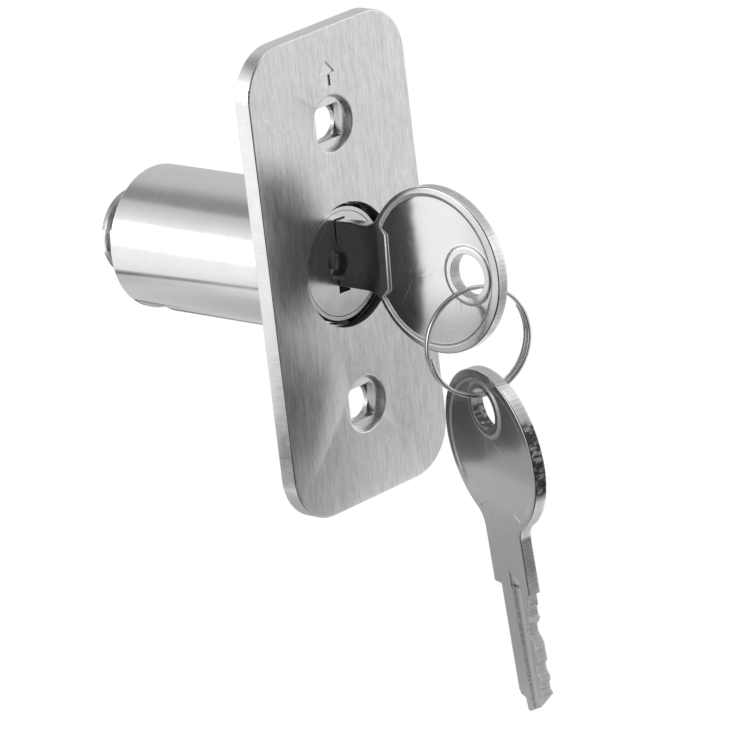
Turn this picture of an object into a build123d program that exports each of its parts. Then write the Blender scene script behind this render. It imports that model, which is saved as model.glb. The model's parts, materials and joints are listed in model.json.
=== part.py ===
from build123d import *
import os
from math import cos, hypot, radians, sin, sqrt

# Garage door emergency release lock.
# +Z is up, the front faces -Y and the barrel points to +Y. The origin is the centre
# of the plate's rear face, on the barrel's axis.

# Face plate
plate_height = 76.2
plate_width = 35.5
plate_thickness = 3.0
plate_corner_radius = 8.0
plate_edge_radius = 0.3
plate_bore_clearance = 0.61
bolt_spacing = 45.6
bolt_square = 5.4
bolt_square_corner = 0.35
bolt_recess_mouth_radius = 4.48
bolt_recess_floor_radius = 4.05
bolt_recess_depth = 1.1
bolt_land = 0.8
recess_lip_radius = 0.3
mark_above_bolt = 7.8
mark_height = 3.6
mark_width = 3.4
mark_stem_width = 1.1
mark_depth = 0.25

# Fits
seat_clearance = 0.02
running_clearance = 0.05
slide_clearance = 0.1

# Barrel
barrel_wall = 2.15
barrel_length = 37.8
barrel_seat_depth = 1.2
undercut_length = 0.4
undercut_depth = 0.65
braze_groove_width = 0.2
braze_groove_depth = 0.3
barrel_edge = 0.3
relief_length = 2.4
lip_thickness = 1.0
lip_hole_clearance = 0.6
window_length = 5.2
window_depth = 2.9
window_from_lip = 0.2

# Release cylinder, turned a little clockwise in the barrel
cylinder_lean = 3.0
cylinder_wall = 2.2
face_setback = 1.4
face_bevel = 0.6
web_thickness = 4.0
tail_step = 3.05
tail_length = 6.8
tail_edge = 0.4
cable_hole_radius = 1.6
cable_hole_from_rim = 2.3
clip_overhang = 0.8
clip_thickness = 1.0
clip_groove_depth = 0.7
clip_opening = 3.6
clip_from_end = 0.8

# Key plug
plug_head_step = 1.3
plug_head_length = 3.1
plug_radius = 7.0
journal_radius = 4.0
keyway_clearance = 0.15
keyway_side_clearance = 0.15
keyway_relief = 1.1
ward_clearance = 0.2
tip_chamber = 0.8
pocket_radius = 3.2
pocket_depth = 2.6
pocket_height = 0.3
retaining_pin_radius = 0.9
retaining_groove_depth = 1.4
retaining_pin_from_end = 2.4

# Keys: local x runs towards the tip, local y towards the cuts, from the bow's centre
bow_radius = 13.15
key_thickness = 2.1
blade_step = 0.1
key_hole_radius = 3.4
key_hole_offset = 6.8
boss_radius = 4.45
coin_depth = 0.25
coin_rim = 1.15
coin_shift = 0.4
coin_end = 9.7
coin_end_half_width = 4.6
coin_end_flare = 1.6
neck_back = 5.65
neck_front = 4.95
neck_fillet = 3.5
shoulder_distance = 23.0
blade_back = 4.35
blade_front = 3.7
blade_length = 21.0
tip_step_length = 2.0
tip_back = 1.9
tip_slope_length = 3.6
tip_nose_front = 1.2
cut_depths = [0.5, 1.4, 0.1, 0.7, 0.5]
first_cut = 3.4
cut_pitch = 3.15
cut_floor = 1.1
groove_back = 0.3
groove_front = 2.2
groove_depth = 0.5
groove_cutter_radius = 12.0
groove_start = 19.2
rebate_width = 0.95
rebate_depth = 0.35
far_groove_back = 3.0
far_groove_front = -1.1

# Place of the key in the lock, above the axis by this much
key_height = 1.47
key_seat_gap = 0.05

# Wafers
wafer_width = 7.0
wafer_thickness = 1.6
wafer_end_clearance = 0.05
wafer_travel = 0.6
window_side_clearance = 0.45
wafer_groove_depth = 0.8
ear_width = 1.1
ear_bottom = 0.2
ear_height = 1.4
spring_length = 3.8
spring_radius = 0.4
spring_wire_radius = 0.17
spring_wire_sides = 12
spring_turns = 5.5
spring_end_gap = 0.02

# Crank and locking bolt
crank_offset = 1.6
crank_pin_radius = 1.0
crank_pin_seat = 3.0
crank_pin_end_gap = 0.3
bolt_thickness = 4.4
bolt_from_window = 0.2
bolt_width = 7.2
bolt_top_setback = 1.65
bolt_shoulder = 3.9
nose_width = 4.9
nose_setback = 0.1
shoulder_clearance = 0.14

# Split ring and spare key
wire_radial = 0.6
wire_axial = 1.9
turn_groove = 0.12
ring_radius = 8.55
ring_direction = 249.0
ring_in_hole = 2.2
ring_slide = 0.3
ring_in_spare_hole = 2.4
spare_slide = 0.37
spare_tilt = 3.2
spare_direction = 18.6

# Places along the barrel
front_y = -plate_thickness
face_y = front_y + face_setback
lip_y = barrel_length - lip_thickness
window_rear_y = lip_y - window_from_lip
window_front_y = window_rear_y - window_length
bolt_rear_y = window_rear_y - bolt_from_window
bolt_front_y = bolt_rear_y - bolt_thickness
channel_front_y = bolt_front_y - slide_clearance
channel_rear_y = bolt_rear_y + slide_clearance
head_rear_y = face_y + plug_head_length
body_rear_y = channel_front_y - web_thickness
journal_rear_y = channel_front_y - slide_clearance
retaining_pin_y = body_rear_y - retaining_pin_from_end
tail_rear_y = barrel_length + tail_length
clip_rear_y = tail_rear_y - clip_from_end
clip_front_y = clip_rear_y - clip_thickness
cable_hole_y = barrel_length + cable_hole_from_rim

# Sizes that follow from the fits, from the plug outwards
wafer_radius = plug_radius - wafer_end_clearance
plug_bore_radius = plug_radius + running_clearance
plug_head_radius = plug_radius + plug_head_step
head_bore_radius = plug_head_radius + running_clearance
journal_bore_radius = journal_radius + running_clearance
cylinder_radius = plug_bore_radius + cylinder_wall
barrel_bore_radius = cylinder_radius + running_clearance
barrel_radius = barrel_bore_radius + barrel_wall
spigot_radius = barrel_radius - undercut_depth
plate_bore_radius = cylinder_radius + plate_bore_clearance
tail_radius = cylinder_radius - tail_step
clip_seat_radius = tail_radius - clip_groove_depth
clip_radius = tail_radius + clip_overhang
lip_hole_radius = clip_radius + lip_hole_clearance
nose_radius = cylinder_radius - nose_setback
bolt_top = cylinder_radius - bolt_top_setback
blade_thickness = key_thickness - 2 * blade_step

# Directions of the leaning cylinder, seen from the front
lean = radians(cylinder_lean)
right = Vector(cos(lean), 0, -sin(lean))
up = Vector(sin(lean), 0, cos(lean))


def across(y, turn=0.0):
    """Plane across the barrel at y, seen from the front, turned clockwise."""
    return Plane(
        origin=(0, y, 0),
        x_dir=(cos(radians(turn)), 0, -sin(radians(turn))),
        z_dir=(0, -1, 0),
    )


def save(part, name):
    """Names a finished piece and writes it."""
    part.label = name
    export_step(part, f"parts/{name}.step")


os.makedirs("parts", exist_ok=True)

# Face plate
bolt_places = [(0, bolt_spacing / 2), (0, -bolt_spacing / 2)]

with BuildPart() as face_plate:
    with BuildSketch(across(0)):
        RectangleRounded(plate_width, plate_height, plate_corner_radius)
        Circle(plate_bore_radius, mode=Mode.SUBTRACT)
    extrude(amount=plate_thickness)
    outline = face_plate.edges().filter_by(
        lambda e: max(abs(e.center().X), abs(e.center().Z)) > plate_bore_radius + 1
    )
    fillet(outline.filter_by(Plane.XZ), radius=plate_edge_radius)
    with BuildSketch(across(0)):
        Circle(spigot_radius + seat_clearance)
    extrude(amount=barrel_seat_depth, mode=Mode.SUBTRACT)
    # Braze groove round the barrel's foot
    with BuildSketch(across(0)):
        Circle(barrel_radius + braze_groove_width)
    extrude(amount=braze_groove_depth, mode=Mode.SUBTRACT)
    for place in bolt_places:
        with BuildSketch(across(front_y)):
            with Locations(place):
                Circle(bolt_recess_mouth_radius)
        with BuildSketch(across(front_y + bolt_recess_depth)):
            with Locations(place):
                Circle(bolt_recess_floor_radius)
        loft(mode=Mode.SUBTRACT)
    with BuildSketch(across(-bolt_land)):
        with Locations(*bolt_places):
            RectangleRounded(bolt_square, bolt_square, bolt_square_corner)
    extrude(amount=plate_thickness - bolt_land, mode=Mode.SUBTRACT)
    with BuildSketch(across(0)):
        with Locations(*bolt_places):
            Circle(bolt_square / 2)
    extrude(amount=bolt_land, mode=Mode.SUBTRACT)
    mouths = face_plate.edges().filter_by(GeomType.CIRCLE).filter_by(
        lambda e: abs(e.radius - bolt_recess_mouth_radius) < 1e-3
    )
    fillet(mouths, radius=recess_lip_radius)
    # Stamped arrow that shows which way up the plate goes
    mark_middle = bolt_spacing / 2 + mark_above_bolt
    with BuildSketch(across(front_y + mark_depth)):
        with Locations((0, mark_middle + mark_height / 4)):
            Triangle(a=mark_width, b=mark_width * 0.8, c=mark_width * 0.8)
        with Locations((0, mark_middle - mark_height / 4)):
            Rectangle(mark_stem_width, mark_height / 2)
    extrude(amount=mark_depth, mode=Mode.SUBTRACT)
save(face_plate.part, "face_plate")

# Barrel: turned tube, undercut where it seats in the plate, with an inward lip at the rear
# and a cross slot for the bolt
with BuildPart() as barrel_tube:
    with BuildSketch(Plane.XY):
        with BuildLine():
            Polyline(
                (plate_bore_radius, -barrel_seat_depth),
                (spigot_radius, -barrel_seat_depth),
                (spigot_radius, undercut_length),
                (barrel_radius, undercut_length),
                (barrel_radius, barrel_length - barrel_edge),
                (barrel_radius - barrel_edge, barrel_length),
                (lip_hole_radius, barrel_length),
                (lip_hole_radius, lip_y),
                (barrel_bore_radius, lip_y),
                (barrel_bore_radius, relief_length - barrel_seat_depth),
                (plate_bore_radius, relief_length - barrel_seat_depth),
                close=True,
            )
        make_face()
    revolve(axis=Axis.Y)
    with BuildSketch(across(window_rear_y)):
        with Locations((0, -barrel_radius)):
            Rectangle(2 * barrel_radius, 2 * window_depth)
    extrude(amount=window_length, mode=Mode.SUBTRACT)
save(barrel_tube.part, "barrel_tube")

# Release cylinder: one turned body with the plug's bore, the bolt's channel and the tail
with BuildPart() as release_cylinder:
    with BuildSketch(Plane.XY):
        with BuildLine():
            Polyline(
                (0, tail_rear_y),
                (0, channel_rear_y),
                (journal_bore_radius, channel_rear_y),
                (journal_bore_radius, body_rear_y + slide_clearance),
                (plug_bore_radius, body_rear_y + slide_clearance),
                (plug_bore_radius, head_rear_y + running_clearance),
                (head_bore_radius, head_rear_y + running_clearance),
                (head_bore_radius, face_y),
                (cylinder_radius - face_bevel / 2, face_y),
                (cylinder_radius, face_y + face_bevel),
                (cylinder_radius, lip_y),
                (tail_radius, lip_y),
                (tail_radius, clip_front_y - running_clearance),
                (clip_seat_radius, clip_front_y - running_clearance),
                (clip_seat_radius, clip_rear_y + running_clearance),
                (tail_radius, clip_rear_y + running_clearance),
                (tail_radius, tail_rear_y - tail_edge),
                (tail_radius - tail_edge, tail_rear_y),
                close=True,
            )
        make_face()
    revolve(axis=Axis.Y)
    # The wafers' grooves, at the two turns where the key comes out
    groove_radius = plug_bore_radius + wafer_groove_depth
    groove_width = wafer_width + 4 * slide_clearance
    for turn in (cylinder_lean, cylinder_lean + 90):
        with BuildSketch(across(body_rear_y + slide_clearance, turn)):
            with Locations((0, groove_radius / 2)):
                Rectangle(groove_width, groove_radius)
        extrude(amount=body_rear_y + slide_clearance - head_rear_y - running_clearance, mode=Mode.SUBTRACT)
    # The bolt's channel, wide above and narrow below for its nose
    throw = crank_offset * sqrt(2)
    channel_shoulder = bolt_shoulder + throw + shoulder_clearance
    with BuildSketch(across(channel_rear_y, cylinder_lean)):
        with Locations((0, (cylinder_radius + 1 - channel_shoulder) / 2)):
            Rectangle(bolt_width + slide_clearance, cylinder_radius + 1 + channel_shoulder)
        with Locations((0, -(cylinder_radius + 1) / 2)):
            Rectangle(nose_width + 2 * slide_clearance, cylinder_radius + 1)
    extrude(amount=channel_rear_y - channel_front_y, mode=Mode.SUBTRACT)
    # Cross holes for the retaining pin and the cable
    retaining_groove_radius = plug_radius - retaining_groove_depth
    pin_height = retaining_groove_radius + slide_clearance + retaining_pin_radius
    with BuildSketch(Plane(origin=-up * pin_height, x_dir=(0, 1, 0), z_dir=right)):
        with Locations((retaining_pin_y, 0)):
            Circle(retaining_pin_radius + seat_clearance)
    extrude(amount=cylinder_radius, both=True, mode=Mode.SUBTRACT)
    with BuildSketch(Plane(origin=(0, 0, 0), x_dir=(0, 1, 0), z_dir=right)):
        with Locations((cable_hole_y, 0)):
            Circle(cable_hole_radius)
    extrude(amount=cylinder_radius, both=True, mode=Mode.SUBTRACT)
save(release_cylinder.part, "release_cylinder")

with BuildPart() as tail_clip:
    with BuildSketch(across(clip_rear_y, cylinder_lean)):
        Circle(clip_radius)
        Circle(clip_seat_radius + seat_clearance, mode=Mode.SUBTRACT)
        with Locations((-clip_radius, 0)):
            Rectangle(clip_radius, clip_opening, mode=Mode.SUBTRACT)
    extrude(amount=clip_thickness)
save(tail_clip.part, "tail_clip")

# Pin across the cylinder, riding in the plug's groove
pin_reach = sqrt(cylinder_radius**2 - (pin_height + retaining_pin_radius) ** 2) - slide_clearance
with BuildPart() as plug_retaining_pin:
    with BuildSketch(Plane(origin=-up * pin_height, x_dir=(0, 1, 0), z_dir=right)):
        with Locations((retaining_pin_y, 0)):
            Circle(retaining_pin_radius)
    extrude(amount=pin_reach, both=True)
save(plug_retaining_pin.part, "plug_retaining_pin")

# Key blank and cuts, made once in its own frame and placed twice
blade_end = shoulder_distance + blade_length
first_cut_x = shoulder_distance + first_cut


def bitting_points():
    """Outline of the cut edge from the shoulder to the tip."""
    points = []
    for i, depth in enumerate(cut_depths):
        middle = first_cut_x + i * cut_pitch
        floor = blade_front - depth
        reach = min(cut_floor / 2 + depth, cut_pitch / 2 - 0.05)
        rise = min(depth, reach - cut_floor / 2)
        points += [
            (middle - reach, floor + rise),
            (middle - cut_floor / 2, floor),
            (middle + cut_floor / 2, floor),
            (middle + reach, floor + rise),
        ]
    return points


with BuildPart() as key:
    # Bow and neck at full thickness
    with BuildSketch(Plane.XY.offset(-key_thickness / 2)) as bow_outline:
        Circle(bow_radius)
        with Locations((shoulder_distance / 2, (neck_front - neck_back) / 2)):
            Rectangle(shoulder_distance, neck_front + neck_back)
        joins = bow_outline.vertices().filter_by(
            lambda v: abs(hypot(v.X, v.Y) - bow_radius) < 1e-3 and v.X > 0
        )
        fillet(joins, radius=neck_fillet)
    extrude(amount=key_thickness)
    # Blade with its cuts and stepped tip
    with BuildSketch(Plane.XY.offset(-blade_thickness / 2)):
        with BuildLine():
            Polyline(
                (shoulder_distance - 1, -blade_back),
                (blade_end - tip_step_length - 0.6, -blade_back),
                (blade_end - tip_step_length, -tip_back),
                (blade_end, -tip_back + 0.2),
                (blade_end, -tip_nose_front + 0.3),
                (blade_end - tip_slope_length, blade_front),
                *reversed(bitting_points()),
                (shoulder_distance, blade_front),
                (shoulder_distance - 1, blade_front),
                close=True,
            )
        make_face()
    extrude(amount=blade_thickness)
    # Coined hollow on both faces of the bow, inside a rim and round a boss
    for side in (1, -1):
        face = Plane.XY.offset(side * key_thickness / 2)
        with BuildSketch(face):
            with Locations((coin_shift, 0)):
                Circle(bow_radius - coin_rim)
            with BuildLine():
                Polyline(
                    (bow_radius + 1, -neck_back - 1),
                    (coin_end + coin_end_flare, -coin_end_half_width - coin_end_flare),
                    (coin_end, -coin_end_half_width),
                    (coin_end, coin_end_half_width - 0.3),
                    (coin_end + coin_end_flare, coin_end_half_width + coin_end_flare - 0.3),
                    (bow_radius + 1, neck_back + 1),
                    close=True,
                )
            make_face(mode=Mode.SUBTRACT)
            with Locations((-key_hole_offset, 0)):
                Circle(boss_radius, mode=Mode.SUBTRACT)
        extrude(amount=-side * coin_depth, mode=Mode.SUBTRACT)
    with BuildSketch(Plane.XY.offset(-key_thickness)):
        with Locations((-key_hole_offset, 0)):
            Circle(key_hole_radius)
    extrude(amount=2 * key_thickness, mode=Mode.SUBTRACT)
    # Milled groove on the seen face, run out by a round cutter, and its narrow rebate
    run_out = sqrt(2 * groove_cutter_radius * groove_depth - groove_depth**2)
    with BuildSketch(Plane.XZ.offset(-groove_front)):
        with BuildLine():
            RadiusArc(
                (groove_start, key_thickness / 2),
                (groove_start + run_out, key_thickness / 2 - groove_depth),
                groove_cutter_radius,
            )
            Polyline(
                (groove_start + run_out, key_thickness / 2 - groove_depth),
                (shoulder_distance, blade_thickness / 2 - groove_depth),
                (blade_end + 1, blade_thickness / 2 - groove_depth),
                (blade_end + 1, key_thickness),
                (groove_start, key_thickness),
                (groove_start, key_thickness / 2),
            )
        make_face()
    extrude(amount=groove_front + groove_back, mode=Mode.SUBTRACT)
    with BuildSketch(Plane.XY.offset(blade_thickness / 2)):
        with Locations((shoulder_distance + blade_length / 2, rebate_width / 2 - blade_back)):
            Rectangle(blade_length, rebate_width)
    extrude(amount=-rebate_depth, mode=Mode.SUBTRACT)
    # Groove on the other face
    with BuildSketch(Plane.XY.offset(-blade_thickness / 2)):
        far_middle = (far_groove_front - far_groove_back) / 2
        with Locations((shoulder_distance + blade_length / 2, far_middle)):
            Rectangle(blade_length + 2, far_groove_back + far_groove_front)
    extrude(amount=groove_depth, mode=Mode.SUBTRACT)

# The key in the lock
shoulder_y = head_rear_y - key_seat_gap
bow_centre = up * key_height + Vector(0, shoulder_y - shoulder_distance, 0)
lock_key_plane = Plane(origin=bow_centre, x_dir=(0, 1, 0), z_dir=-right)
with BuildPart(lock_key_plane) as lock_key:
    add(key.part)
save(lock_key.part, "lock_key")

# The split ring hangs in the key's hole, and the spare key hangs on the ring
hole_centre = lock_key_plane.from_local_coords((-key_hole_offset, 0, 0))
heading = radians(ring_direction)
ring_normal = Vector(cos(heading), sin(heading), 0)
ring_level = Vector(-sin(heading), cos(heading), 0)
ring_centre = hole_centre + Vector(0, ring_slide, -ring_in_hole - ring_radius)
ring_plane = Plane(origin=ring_centre, x_dir=(0, 0, 1), z_dir=ring_normal)
with BuildPart() as split_ring:
    with BuildSketch(ring_plane):
        Circle(ring_radius + wire_radial / 2)
        Circle(ring_radius - wire_radial / 2, mode=Mode.SUBTRACT)
    extrude(amount=wire_axial / 2, both=True)
    # The seam between the two turns of wire
    with BuildSketch(ring_plane):
        Circle(ring_radius + wire_radial)
        Circle(ring_radius + wire_radial / 2 - turn_groove, mode=Mode.SUBTRACT)
        Circle(ring_radius - wire_radial / 2 + turn_groove)
        Circle(ring_radius - wire_radial, mode=Mode.SUBTRACT)
    extrude(amount=turn_groove / 2, both=True, mode=Mode.SUBTRACT)
save(split_ring.part, "split_ring")

# The spare key leans back on its hole's edge, square to the way its face looks
spare_heading = radians(spare_direction)
spare_level = Vector(-cos(spare_heading), sin(spare_heading), 0)
spare_axis = Vector(0, 0, -cos(radians(spare_tilt))) - spare_level * sin(radians(spare_tilt))
spare_face = spare_level * cos(radians(spare_tilt)) - Vector(0, 0, sin(radians(spare_tilt)))
ring_foot = ring_centre - Vector(0, 0, ring_radius) + ring_level * spare_slide
spare_hole = ring_foot + spare_axis * ring_in_spare_hole
spare_plane = Plane(origin=spare_hole + spare_axis * key_hole_offset, x_dir=spare_axis, z_dir=spare_face)
with BuildPart(spare_plane) as spare_key:
    add(key.part)
save(spare_key.part, "spare_key")

# Key plug: head, body with keyway and wafer slots, journal
wafer_places = [shoulder_y + first_cut + i * cut_pitch for i in range(len(cut_depths))]
blade_low = key_height - blade_front
blade_high = key_height + blade_back
neck_low = key_height - neck_front
neck_high = key_height + neck_back
keyway_width = blade_thickness + 2 * keyway_side_clearance
neckway_width = key_thickness + 2 * keyway_side_clearance
keyway_rear_y = shoulder_y + blade_length + tip_chamber
slot_thickness = wafer_thickness + slide_clearance
slot_half_width = wafer_width / 2 + slide_clearance / 2
pocket_bottom = ear_bottom - spring_length
pocket_top = ear_bottom + ear_height + wafer_travel + 2 * slide_clearance
pocket_side = wafer_width / 2 + ear_width + 1.5 * slide_clearance

with BuildPart() as key_plug:
    with BuildSketch(Plane.XY):
        with BuildLine():
            Polyline(
                (0, face_y),
                (plug_head_radius, face_y),
                (plug_head_radius, head_rear_y),
                (plug_radius, head_rear_y),
                (plug_radius, retaining_pin_y - retaining_pin_radius - slide_clearance),
                (retaining_groove_radius, retaining_pin_y - retaining_pin_radius - slide_clearance),
                (retaining_groove_radius, retaining_pin_y + retaining_pin_radius + slide_clearance),
                (plug_radius, retaining_pin_y + retaining_pin_radius + slide_clearance),
                (plug_radius, body_rear_y),
                (journal_radius, body_rear_y),
                (journal_radius, journal_rear_y),
                (0, journal_rear_y),
                close=True,
            )
        make_face()
    revolve(axis=Axis.Y)
    # Opening in the head for the key's neck, and the round pocket beside it
    with BuildSketch(across(head_rear_y, cylinder_lean)):
        with Locations((0, (neck_high + keyway_clearance + neck_low - keyway_relief) / 2)):
            Rectangle(neckway_width, neck_high + keyway_clearance - neck_low + keyway_relief)
    extrude(amount=plug_head_length, mode=Mode.SUBTRACT)
    with BuildSketch(across(face_y + pocket_depth, cylinder_lean)):
        with Locations((0, pocket_height)):
            Circle(pocket_radius)
    extrude(amount=pocket_depth, mode=Mode.SUBTRACT)
    # Keyway in the body, with a ward that the blade's groove passes over
    with BuildSketch(across(keyway_rear_y, cylinder_lean)):
        with Locations((0, (blade_low + blade_high) / 2)):
            Rectangle(keyway_width, blade_high - blade_low + 2 * keyway_clearance)
        ward_low = key_height - groove_front + ward_clearance
        ward_high = key_height + groove_back - ward_clearance
        with Locations(((groove_depth - keyway_width) / 2, (ward_low + ward_high) / 2)):
            Rectangle(groove_depth, ward_high - ward_low, mode=Mode.SUBTRACT)
    extrude(amount=keyway_rear_y - head_rear_y, mode=Mode.SUBTRACT)
    # Wafer slots right through, each with a pocket for the ear and its spring
    for y in wafer_places:
        with BuildSketch(across(y + slot_thickness / 2, cylinder_lean)):
            Rectangle(2 * slot_half_width, 4 * plug_radius)
            with Locations(((slot_half_width + pocket_side) / 2, (pocket_bottom + pocket_top) / 2)):
                Rectangle(pocket_side - slot_half_width, pocket_top - pocket_bottom)
        extrude(amount=slot_thickness, mode=Mode.SUBTRACT)
    # Hole for the crank pin in the journal
    crank_place = (crank_offset * sqrt(0.5), crank_offset * sqrt(0.5))
    with BuildSketch(across(journal_rear_y, cylinder_lean)):
        with Locations(crank_place):
            Circle(crank_pin_radius + seat_clearance)
    extrude(amount=crank_pin_seat, mode=Mode.SUBTRACT)
save(key_plug.part, "key_plug")

# Crank pin, pressed in the journal and reaching through the bolt
crank_rear_y = bolt_rear_y - crank_pin_end_gap + slide_clearance
with BuildPart() as crank_pin:
    with BuildSketch(across(crank_rear_y, cylinder_lean)):
        with Locations(crank_place):
            Circle(crank_pin_radius)
    extrude(amount=crank_rear_y - journal_rear_y + crank_pin_seat)
save(crank_pin.part, "crank_pin")

# Locking bolt: a body with the crank's cross slot, and a nose that enters the barrel's slot
crank_high = crank_place[1]
slot_left = crank_place[0] - crank_pin_radius - slide_clearance
slot_right = crank_offset + crank_pin_radius + slide_clearance
with BuildPart() as locking_bolt:
    with BuildSketch(across(bolt_rear_y, cylinder_lean)):
        with Locations((0, (bolt_top - bolt_shoulder) / 2)):
            Rectangle(bolt_width, bolt_top + bolt_shoulder)
        with Locations((0, -nose_radius / 2)):
            Rectangle(nose_width, nose_radius)
        Circle(nose_radius, mode=Mode.INTERSECT)
        with Locations(((slot_left + slot_right) / 2, crank_high)):
            Rectangle(slot_right - slot_left, 2 * (crank_pin_radius + slide_clearance), mode=Mode.SUBTRACT)
    extrude(amount=bolt_thickness)
save(locking_bolt.part, "locking_bolt")

# Wafers, their windows clear of the whole blade, and a spring under each one's ear
window_low = blade_low - keyway_clearance - wafer_travel
window_high = blade_high + keyway_clearance
window_width = blade_thickness + 2 * window_side_clearance
for i, y in enumerate(wafer_places, start=1):
    with BuildPart() as wafer:
        with BuildSketch(across(y + wafer_thickness / 2, cylinder_lean)):
            Rectangle(wafer_width, 4 * wafer_radius)
            Circle(wafer_radius, mode=Mode.INTERSECT)
            with Locations((0, (window_low + window_high) / 2)):
                Rectangle(window_width, window_high - window_low, mode=Mode.SUBTRACT)
            with Locations(((wafer_width + ear_width) / 2, ear_bottom + ear_height / 2)):
                Rectangle(ear_width, ear_height)
        extrude(amount=wafer_thickness)
    save(wafer.part, f"wafer_{i}")

    coil_height = spring_length - 2 * (spring_wire_radius + spring_end_gap)
    coil_foot = Vector(0, y, 0) + right * (wafer_width / 2 + ear_width / 2 + slide_clearance / 2)
    coil_foot += up * (pocket_bottom + spring_wire_radius + spring_end_gap)
    with BuildPart() as wafer_spring:
        with BuildLine() as coil:
            Helix(
                pitch=coil_height / spring_turns,
                height=coil_height,
                radius=spring_radius,
                center=coil_foot,
                direction=up,
            )
        with BuildSketch(coil.line ^ 0):
            RegularPolygon(spring_wire_radius, spring_wire_sides)
        sweep(is_frenet=True)
    save(wafer_spring.part, f"wafer_spring_{i}")
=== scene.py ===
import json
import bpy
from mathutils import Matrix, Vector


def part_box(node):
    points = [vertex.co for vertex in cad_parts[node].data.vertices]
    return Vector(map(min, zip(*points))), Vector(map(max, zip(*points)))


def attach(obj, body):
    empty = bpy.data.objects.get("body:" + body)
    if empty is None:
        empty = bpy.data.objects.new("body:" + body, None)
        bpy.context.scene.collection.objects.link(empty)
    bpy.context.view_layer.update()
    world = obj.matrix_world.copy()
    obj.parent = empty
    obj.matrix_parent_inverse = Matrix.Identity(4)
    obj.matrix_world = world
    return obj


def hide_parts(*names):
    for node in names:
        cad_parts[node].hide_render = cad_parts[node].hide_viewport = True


bl_info = {
    "name": "Garage Door Release Lock",
    "version": (1, 0, 0),
    "blender": (4, 5, 0),
    "location": "3D View > Sidebar > Release Lock",
    "description": (
        "Finishes a garage door emergency release lock with its key, spare key and split ring"
    ),
    "category": "Object",
}

from math import cos, radians, sin, tau

import bmesh
import bpy
from bpy.props import FloatProperty, FloatVectorProperty, IntProperty, PointerProperty
from mathutils import Matrix, Vector

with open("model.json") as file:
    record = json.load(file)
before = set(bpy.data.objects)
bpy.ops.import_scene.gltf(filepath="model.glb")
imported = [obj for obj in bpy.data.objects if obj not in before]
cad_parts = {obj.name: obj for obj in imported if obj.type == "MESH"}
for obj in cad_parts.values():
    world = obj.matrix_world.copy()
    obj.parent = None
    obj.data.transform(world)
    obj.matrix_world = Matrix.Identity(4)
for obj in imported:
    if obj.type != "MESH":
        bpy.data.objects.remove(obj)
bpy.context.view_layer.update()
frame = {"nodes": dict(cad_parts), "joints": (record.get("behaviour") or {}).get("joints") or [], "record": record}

JOINTS = {joint["name"]: joint for joint in frame["joints"]}
MM = 0.001

# Corners of a CAD mesh this close are one corner, and heights this close are one height
WELD = 0.0001 * MM
TOUCH = 0.01 * MM
# Faces that turn less than this are one flat, and edges that turn more than this are eased
FLAT_ANGLE = radians(0.4)
CREASE_ANGLE = radians(32)

# Depths of the finishes' bumps
FINE_RELIEF = 0.02 * MM
COARSE_RELIEF = 0.03 * MM

# Stray scratches: how fine they are along and across, how far they wander, how soft they are
SCRATCH_ALONG, SCRATCH_ACROSS = 140.0, 9000.0
SCRATCH_WANDER, SCRATCH_SOFTNESS = 3.0, 0.05

# The plug sits a little turned in the plate
LEAN = radians(3.0)
LOCK_UP = Vector((sin(LEAN), 0, cos(LEAN)))
LOCK_RIGHT = Vector((cos(LEAN), 0, -sin(LEAN)))

# Plate
BOLT_REACH = 22.8 * MM
BORE_RADIUS = 9.86 * MM
RECESS_RADIUS = 4.48 * MM

# Keys, measured from the bow's centre towards the tip
LOCK_KEY_HOLE = Vector((0, -28.35, 0)) * MM + LOCK_UP * 1.47 * MM
KEY_HALF_THICKNESS = 1.05 * MM
KEY_HOLE_REACH = 6.8 * MM
KEY_HOLE_RADIUS = 3.5 * MM
BOSS_RADIUS = 4.45 * MM
COIN_FLOOR = 0.80 * MM
COIN_RADIUS = 12.0 * MM
COIN_SHIFT = 0.4 * MM
COIN_SIDES_END = 9.0 * MM
COIN_END = 13.0 * MM
COIN_AREA = 4 * MM * MM
COIN_ROUGHNESS_DROP = 0.06
NECK_HALF_WIDTH = 5.2 * MM
NECK_SLANT, SIDE_SLANT = 0.41, 0.9
SHOULDER_REACH = 22.5 * MM
WORN_FROM, WORN_TO = 4.0 * MM, 9.4 * MM
WORN_DEPTH = 0.94 * (KEY_HALF_THICKNESS - COIN_FLOOR)
KEY_CREASE_ANGLE = radians(20)
KEY_BEVEL_SEGMENTS = 4
KEY_CRISP_ANGLE = radians(0.3)
# A key's face is a wall where its normal has less than this part along the key's thickness
KEY_WALL_LEVEL = 0.2
# Shares of the keys' easing, and the share of the room beside a step that its lean may take
OUTLINE_SHARE, STEP_SHARE, BLADE_SHARE = 1.0, 0.5, 0.16
LEAN_SHARE = 0.3

# Split ring
RING_TURNS = 1.56
RING_START = radians(-96)
RING_FACING = radians(69)
RING_SIDES = 24
RING_CREASE_ANGLE = radians(50)
RING_HALF_GAP = 0.02 * MM
STEP_OVER_START, STEP_OVER_LENGTH = 0.62, 0.34
WIRE_END_SHARE, WIRE_END_LENGTH = 0.75, 1.0 * MM
# Powers that square the wire's section off: less than 1 is squarer than an ellipse
WIDTH_POWER, HEIGHT_POWER = 0.55, 0.75

# Camera: its right and down, and how far the lock lies to its right, down from it and ahead
CAMERA_RIGHT = Vector((0.662, -0.7414, -0.1128))
CAMERA_DOWN = Vector((-0.3009, -0.1249, -0.9456))
LOCK_FROM_CAMERA = Vector((-6.14, -17.49, 1087.36)) * MM
SENSOR_WIDTH = 36.0
# The nearest and farthest that the camera sees, in metres
SIGHT = 0.05, 20.0

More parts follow.
